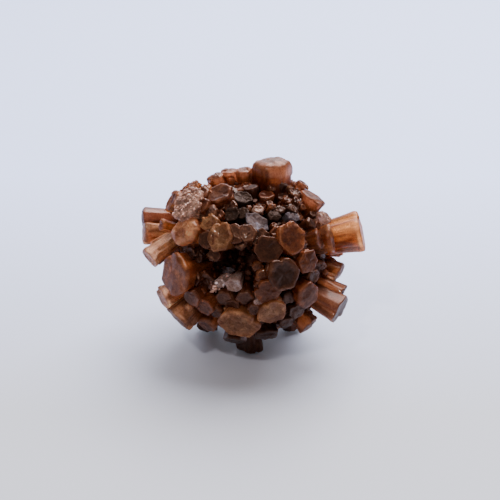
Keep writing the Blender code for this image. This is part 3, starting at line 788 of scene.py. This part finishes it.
def growing_tree():
    """Grows a column on every point of a mesh, shaped by what the point says of its crystal."""
    tree, given = new_tree("grow crystals", "Column",
                           [name.replace("_", " ").capitalize() for name in FORM])
    shape = add(tree, "GeometryNodeObjectInfo", {"Object": given["Column"]})
    planted = add(tree, "GeometryNodeInstanceOnPoints",
                  {"Points": given["Geometry"], "Instance": shape["Geometry"]})
    skins = add(tree, "GeometryNodeRealizeInstances", {0: planted[0]})

    # The section runs straight from one corner to the next.
    around, phase, along, spread = (noted(tree, name) for name in ("around", "phase", "along", "spread"))
    side = calc(tree, "FLOOR", around)
    share = calc(tree, "SUBTRACT", around, side)
    here = corner_place(tree, side, phase, given["Corner swing"])
    following = corner_place(tree, calc(tree, "ADD", side, 1), phase, given["Corner swing"])
    outline = move(tree, "ADD", here, scaled(tree, move(tree, "SUBTRACT", following, here), share))

    # Corners are worn round, and one side of a wide crystal has a twin's notch.
    near = calc(tree, "MINIMUM", share, calc(tree, "SUBTRACT", 1.0, share))
    worn = calc(tree, "POWER", from_to(tree, near, 0.0, CORNER_REACH, 1.0, 0.0), 2.0)
    pull = times(tree, worn, noted(tree, "round"), given["Corner round"])
    middle = calc(tree, "ABSOLUTE", calc(tree, "SUBTRACT", share, 0.5))
    cleft = times(tree, from_to(tree, middle, 0.0, NOTCH_HALF, 1.0, 0.0),
                  calc(tree, "COMPARE", side, noted(tree, "notch"), 0.5))
    kept = calc(tree, "SUBTRACT", 1.0, calc(tree, "MULTIPLY_ADD", cleft, given["Notch depth"], pull))

    # Grooves run lengthwise down the sides, which narrow towards the root.
    half = times(tree, noted(tree, "width"), 0.5)
    shoulder = noted(tree, "shoulder")
    drop = times(tree, noted(tree, "drop"), shoulder)
    up = calc(tree, "SUBTRACT", times(tree, along, noted(tree, "length")), drop)
    # Its own number lets each crystal read its own part of every noise.
    own = calc(tree, "MODULO", calc(tree, "MULTIPLY_ADD", phase, 3.7, given["Seed"]), 61.3)
    strip = combine(tree, times(tree, around, 2.3), times(tree, up, 0.05), own)
    groove = from_to(tree, mottle(tree, strip, 1.0, 2.0, 0.6), 0.38, 0.68)
    inset = calc(tree, "MULTIPLY_ADD", groove, given["Groove depth"],
                 times(tree, noted(tree, "inset"), shoulder))
    kept = times(tree, kept, calc(tree, "SUBTRACT", 1.0, calc(tree, "DIVIDE", inset, half)))
    taper = from_to(tree, along, 0.0, 1.0, given["Root taper"], 1.0)
    halves = combine(tree, half, times(tree, noted(tree, "depth"), 0.5), 0.0)
    flat = move(tree, "MULTIPLY", scaled(tree, outline, times(tree, kept, taper, spread)), halves)

    # The end has terraces where twins meet, faint rings and a shallow dish.
    on_end = calc(tree, "GREATER_THAN", along, END_FROM)
    plane = move(tree, "ADD", flat, combine(tree, 0.0, 0.0, own))
    fields = add(tree, "ShaderNodeTexVoronoi", {"Vector": plane, "Scale": TERRACE_PER_MM})
    field = add(tree, "FunctionNodeSeparateColor", {0: fields["Color"]})
    rugged = noted(tree, "rugged")
    terrace = times(tree, field[0], given["Terrace depth"], rugged)
    wobble = calc(tree, "MULTIPLY_ADD", mottle(tree, plane, 0.8), 0.3, spread)
    ripple = calc(tree, "SINE", times(tree, wobble, 17.0))
    rings = times(tree, calc(tree, "ADD", ripple, 1.0), given["Ring depth"])
    dish = noted(tree, "dish")
    bowl = times(tree, spread, spread, -1.0)
    hollow = calc(tree, "MULTIPLY_ADD", bowl, dish, calc(tree, "MAXIMUM", dish, 0.0))
    sunk = calc(tree, "ADD", calc(tree, "ADD", terrace, rings), times(tree, hollow, given["Dish depth"]))
    rise = calc(tree, "SUBTRACT", up, times(tree, sunk, on_end))

    # Its place in the ball, and the wear that eats into its faces.
    root, axis, wide, deep = (noted(tree, name, "FLOAT_VECTOR") for name in ("root", "axis", "wide", "deep"))
    parts = add(tree, "ShaderNodeSeparateXYZ", {0: flat})
    out = move(tree, "ADD", scaled(tree, wide, parts[0]), scaled(tree, deep, parts[1]))
    place = move(tree, "ADD", move(tree, "ADD", root, out), scaled(tree, axis, rise))
    bite = from_to(tree, mottle(tree, place, 0.9, 4.0, 0.68), 0.4, 0.74)
    bite = times(tree, bite, given["Wear depth"], rugged)
    inwards = scaled(tree, move(tree, "NORMALIZE", out), times(tree, bite, spread))
    down = scaled(tree, axis, times(tree, bite, on_end))
    place = move(tree, "SUBTRACT", place, move(tree, "ADD", inwards, down))
    shaped = add(tree, "GeometryNodeSetPosition",
                 {"Geometry": skins[0], "Position": scaled(tree, place, MM)})

    # What the stone's colours follow: its own coordinates, and how near its end a point is.
    below = calc(tree, "SUBTRACT", noted(tree, "length"), up)
    tip = calc(tree, "MAXIMUM", on_end, from_to(tree, below, 0.0, noted(tree, "milk"), 1.0, 0.0))
    local = move(tree, "ADD", flat, combine(tree, own, 0.0, calc(tree, "MULTIPLY_ADD", own, 1.7, rise)))
    skin = noted_as(tree, shaped[0], "grain", local, "FLOAT_VECTOR")
    close_tree(tree, noted_as(tree, skin, "tip", tip), given["Material"])
    return tree


def seeds(crystals, seed):
    """A point for each crystal, which notes all that the growing tree has to know of it."""
    chance = random.Random(seed)
    rows = []
    for one in crystals:
        axis = one["cap"] - one["root"]
        wide, deep = section_axes(axis.normalized(), one["turn"])
        notched = one["width"] >= NOTCH_FROM_WIDTH
        body, end, milk, streaky, dark, *shoulder = FINISHES[one["finish"]]
        tint = chance.uniform(*TINT_SPREAD)
        rows.append({
            "width": one["width"] + WEAR_ALLOWANCE, "depth": one["depth"] + WEAR_ALLOWANCE,
            "length": axis.length, "phase": one["phase"],
            "notch": int(one["phase"] * 3) % SIDES if notched else -1.0,
            "rugged": chance.uniform(0.5, 1.0) + one["crust"] * 0.6,
            "dish": chance.uniform(-1.0, 1.0) - DOMES.get(one["finish"], 0.0),
            "shoulder": min(chance.uniform(*shoulder), SHOULDER_SHARE * one["depth"] / 2),
            "round": chance.uniform(0.1, 0.4) + shoulder[1] / ROUNDEST_SHOULDER * 0.6,
            "crust": one["crust"], "milk": milk * chance.uniform(0.8, 1.2) + 0.05, "streaky": streaky,
            "dark": dark, "root": heart + one["root"], "axis": axis.normalized(), "wide": wide,
            "deep": deep, "body_colour": Vector(body) * tint, "cap_colour": Vector(end) * tint})
    mesh = bpy.data.meshes.new("seeds")
    mesh.from_pydata([(heart + one["cap"]) * MM for one in crystals], [], [])
    for name in rows[0]:
        note(mesh, name, [row[name] for row in rows])
    return mesh


def crystal_stone(name, clearness, rings, rough, relief_share, gloss=0.12, coat=0.15):
    """A translucent crystal, which shines less where it is seen edge-on and is painted lighter there: a
    painted glow for light passing through.
    """
    material, tree, shader = new_material(name)
    pattern = use_group(tree, GRAIN, vector=read(tree, "grain", "Vector"), **CRYSTAL_GRAIN)
    colour = crystal_colour(tree, pattern, rings)
    # Seen edge-on, the colour is painted lighter: a painted glow standing for light passing through the
    # edges.
    edge_on = add(tree, "ShaderNodeLayerWeight")["Facing"]
    colour = mix(tree, from_to(tree, edge_on, 0.35, 0.9), colour, tinted(tree, colour, "painted edge glow"))
    feed_all(tree, shader, {
        "Base Color": colour, "Normal": relief(tree, pattern, 0.1, relief_share),
        "Roughness": from_to(tree, pattern["Grain"], 0.35, 0.68, rough, rough + 0.15),
        "Transmission Weight": clearness, "IOR": CRYSTAL_IOR, "Specular Tint": SHEEN_TINT,
        "Specular IOR Level": from_to(tree, edge_on, *SHEEN_GONE, gloss, 0.0),
        "Coat Weight": from_to(tree, edge_on, *SHEEN_GONE, coat, 0.0), "Coat Roughness": COAT_ROUGHNESS})
    return material


def grow(name, crystals, seed, skin, stone):
    piece = grown_piece(name, seeds(crystals, seed), GROW, column=skin, seed=seed, material=stone, **FORM)
    part_of_ball(piece)
    return piece


GROW = growing_tree()
FINE_COLUMN = column("fine column", FINE_RINGS, FINE_STOPS)
COARSE_COLUMN = column("coarse column", COARSE_RINGS, COARSE_STOPS)
amber = crystal_stone("amber aragonite", clearness=0.75, rings=0.5, rough=0.28, relief_share=0.2)
front = front_crystals()
cloudy = [one for one in front if one["finish"] not in CLEAR_FINISHES]
half = len(cloudy) // 2
upper_piece = grow("upper_crystals", cloudy[:half], 3, FINE_COLUMN, amber)
lower_piece = grow("lower_crystals", cloudy[half:], 4, FINE_COLUMN, amber)

# Growths along the sides of the wide crystals
# Narrower crystals of the same stone, grown side by side with a wide one and a little shorter. They
# break up its corners into steps.
SIDE_FROM_WIDTH = 3.6
SIDE_WIDTHS = (0.3, 0.52)
SIDE_PROUD = 0.22
SIDE_SHORTER = (0.35, 2.2)
SIDE_COUNTS = (1, 3)
SIDE_TURN = 8


def side_growths(crystals, seed):
    chance = random.Random(seed)
    found = []
    for one in crystals:
        if one["width"] < SIDE_FROM_WIDTH:
            continue
        axis = (one["cap"] - one["root"]).normalized()
        wide, deep = section_axes(axis, one["turn"])
        for n in range(chance.randint(*SIDE_COUNTS)):
            narrow = chance.uniform(*SIDE_WIDTHS)
            angle = chance.uniform(0, math.tau)
            out = one["width"] / 2 * (0.93 - narrow) + SIDE_PROUD
            flat = one["depth"] / one["width"]
            aside = (wide * math.cos(angle) + deep * math.sin(angle) * flat) * out
            cap = one["cap"] + aside - axis * chance.uniform(*SIDE_SHORTER)
            turn = one["turn"] + chance.uniform(-SIDE_TURN, SIDE_TURN)
            found.append(crystal(cap, one["root"] + aside * FORM["root_taper"], one["width"] * narrow,
                                 one["depth"] * narrow, turn, one["phase"] + n + 0.4, one["finish"],
                                 one["crust"]))
    return found


grow("side_growths", side_growths(cloudy, 21), 6, COARSE_COLUMN, amber)

# Clear plates
# A few crystals in the hollow and below the crown grew clearer than the rest, and grey with smoke
# instead of orange. A little light passes through them.
smoky = crystal_stone("clear aragonite", clearness=0.2, rings=0.3, rough=0.3, relief_share=0.1, gloss=0.02,
                      coat=0.03)
clear = [one for one in front if one["finish"] in CLEAR_FINISHES]
grow("clear_plates", clear, 5, FINE_COLUMN, smoky)

# The feet
# Four crystals that happen to point down carry the ball. They stand in its shadow, and their
# dark finish is painted shade as well.
FEET = [
    ((-0.4, 0.0, -19.0), (-0.4, 0.0, -10.6), 4.8, 4.4, 10),
    ((-0.6, -3.8, -19.6), (-0.6, -6.6, -9.5), 6.4, 5.2, 30),
    ((-9.6, 4.3, -19.3), (-7.0, 3.2, -7.5), 5.0, 4.6, 24),
    ((8.6, 4.5, -19.3), (6.2, 3.3, -7.5), 5.2, 4.8, -28),
]
# The feet take the darkest finish: painted shade under the ball.
FOOT_PAINTED_SHADE_FINISH = ("dusk", 0.1)


def corner(number, phase):
    angle = math.tau * number / SIDES
    swing = 1 + FORM["corner_swing"] * math.sin(CORNER_STEP * (number % SIDES) + phase)
    return Vector((math.cos(angle), math.sin(angle))) * swing


def lowest_corner(one):
    wide, deep = section_axes((one["cap"] - one["root"]).normalized(), one["turn"])
    corners = [corner(n, one["phase"]) for n in range(SIDES)]
    return min((one["cap"] + wide * (p.x * one["width"] / 2) + deep * (p.y * one["depth"] / 2)).z
               for p in corners)


def foot_crystals():
    """Each foot is lengthened along its axis until its lowest corner is on the floor."""
    found = []
    for number, (cap, start, width, depth, turn) in enumerate(FEET, len(FRONT)):
        foot = crystal(Vector(cap), Vector(start), width, depth, turn, PHASE_STEP * number, *FOOT_PAINTED_SHADE_FINISH)
        axis = (foot["cap"] - foot["root"]).normalized()
        foot["cap"] += axis * ((lowest_corner(foot) + HEART_HEIGHT) / -axis.z)
        found.append(foot)
    return found


feet = foot_crystals()
grow("feet", feet, 8, FINE_COLUMN, amber)

# The crystals of the hidden half
# The same stone all round: long crystals in every direction that the picture doesn't show, the
# widest first, none of them reaching past the ball's outline in the picture.
OUTLINE = [
    (0, 20), (20, 16.5), (40, 17), (55, 16.5), (70, 18), (90, 16.8), (115, 15.8),
    (130, 18), (150, 19), (168, 21), (182, 20.5), (192, 18.5), (215, 18.8), (235, 18),
    (255, 18.6), (270, 19.2), (285, 17.6), (300, 16.8), (320, 18), (340, 17), (352, 15),
    (360, 20),
]
OUTLINE_MARGIN = 0.35
SHORTEST = 3.4
FILL_SEED = 11
DEPTH_SHARE = (0.85, 1.0)
LEAN = 1.6
FLOOR_GAP = 0.6
FLOOR_STEP = 0.35
FLOOR_STEPS = 4
HALF_WIDTH = 0.54
LONG = {"tries": 1400, "reaches": (16.8, 21.8), "widths": (7.8, 3.2), "spacing": 0.42}
LONG_LIMIT = 3.0
LONG_FINISHES = ("amber amber rust plum chestnut olive taupe peach flame umber pale shell amber taupe "
                 "plum").split()
MOST_CRUST = 0.7


def outline_radius(angle):
    """How far from the heart the picture's outline runs at an angle in degrees."""
    for (low, near), (high, far) in zip(OUTLINE, OUTLINE[1:]):
        if low <= angle <= high:
            return near + (far - near) * (angle - low) / (high - low)
    return OUTLINE[0][1]


def longest_reach(direction, margin):
    right, up = view_axes()
    across = direction.dot(right)
    rise = direction.dot(up)
    angle = math.degrees(math.atan2(rise, across)) % 360
    return (outline_radius(angle) - margin) / max(math.hypot(across, rise), 0.1)


def floor_reach(direction, width, clear):
    """How far a crystal may reach before its lowest corner comes nearer to the floor than clear."""
    if direction.z >= 0:
        return math.inf
    aslant = math.hypot(direction.x, direction.y)
    return (HEART_HEIGHT - clear - HALF_WIDTH * width * aslant) / -direction.z


def open_to_long(direction, tip):
    """Long crystals grow only on the side that is turned away from the viewer."""
    return tip.dot(from_view(0, 0, 1)) < LONG_LIMIT


def fill_crystals(placed, is_open, tries, reaches, widths, spacing):
    """Crystals in seeded random directions, the widest first, where they don't crowd those there."""
    chance = random.Random(FILL_SEED)
    found = []
    taken = [(one["cap"].normalized(), one["width"]) for one in placed]
    for number in range(tries):
        direction = Vector([chance.gauss(0, 1) for _ in range(3)]).normalized()
        width = widths[0] + (widths[1] - widths[0]) * number / tries
        clear = FLOOR_GAP + FLOOR_STEP * (1 + number % FLOOR_STEPS)
        reach = min(chance.uniform(*reaches), longest_reach(direction, width * OUTLINE_MARGIN),
                    floor_reach(direction, width, clear))
        depth = width * chance.uniform(*DEPTH_SHARE)
        turn = chance.uniform(0, 360 / SIDES)
        lean = Vector([chance.uniform(-LEAN, LEAN) for _ in range(3)])
        tip = direction * reach
        one = crystal(tip, direction * ROOT_RADIUS + lean, width, depth, turn,
                      PHASE_STEP * (len(placed) + len(found)))
        gap = min(direction.angle(other) * reach - spacing * (width + wide) for other, wide in taken)
        if gap < 0 or reach < ROOT_RADIUS + SHORTEST or not is_open(direction, tip):
            continue
        if lowest_corner(one) < FLOOR_GAP - HEART_HEIGHT:
            continue
        taken.append((direction, width))
        found.append(one)
    return found


def finished(crystals, finishes, seed):
    """Gives each crystal one of the finishes, and about half of them some crust."""
    chance = random.Random(seed)
    for one in crystals:
        one["finish"] = chance.choice(finishes)
        one["crust"] = max(0.0, chance.uniform(-MOST_CRUST, MOST_CRUST))
    return crystals


hidden = finished(fill_crystals(front + feet, open_to_long, **LONG), LONG_FINISHES, 31)
hidden_piece = grow("hidden_crystals", hidden, 9, FINE_COLUMN, amber)
grow("hidden_side_growths", side_growths(hidden, 23), 10, COARSE_COLUMN, amber)

# The short crystals in between
# Younger crystals that filled the gaps between the long ones. Little light reaches them, so they
# look dark brown.
SHORT = {"tries": 2400, "reaches": (14.6, 16.2), "widths": (4.2, 2.4), "spacing": 0.35}
SHORT_FINISHES = "umber rust dusk plum umber chestnut olive rust".split()


def open_to_short(direction, tip):
    """Short crystals grow anywhere but in the hollow."""
    return direction.angle(from_view(*HOLLOW)) > HOLLOW_SPREAD


short = finished(fill_crystals(front + feet + hidden, open_to_short, **SHORT), SHORT_FINISHES, 37)
short_piece = grow("short_crystals", short, 12, COARSE_COLUMN, amber)

# The youngest crystals
# Thin ones that squeezed into what gaps were left, a little lower than the long ones' ends. The
# solid ball doesn't have them.
YOUNG = {"tries": 5200, "reaches": (15.6, 17.3), "widths": (2.6, 1.3), "spacing": 0.4}

placed = front + feet + hidden + short
young = finished(fill_crystals(placed, open_to_short, **YOUNG), SHORT_FINISHES, 41)
grow("young_crystals", young, 13, COARSE_COLUMN, amber)

# Crust
# A late growth of tiny crystals, like coarse sugar, on the ends and sides of some of the others. So
# many faces scatter the light that it is less clear than they are, and here and there one glints.
CRUST = {"per_mm2": 5.0, "widths": (0.2, 0.6), "lengths": (0.25, 0.5), "lean": 0.35}
CRUST_SEED = 50

sugar = crystal_stone("sugary crust", clearness=0.4, rings=0.0, rough=0.28, relief_share=0.1, coat=0.7)
crusted = {"upper_crust": upper_piece, "lower_crust": lower_piece, "hidden_crust": hidden_piece,
           "short_crust": short_piece}
for seed, (name, piece) in enumerate(crusted.items(), CRUST_SEED):
    sprouts(name, piece.data, sugar, seed=seed, **CRUST)
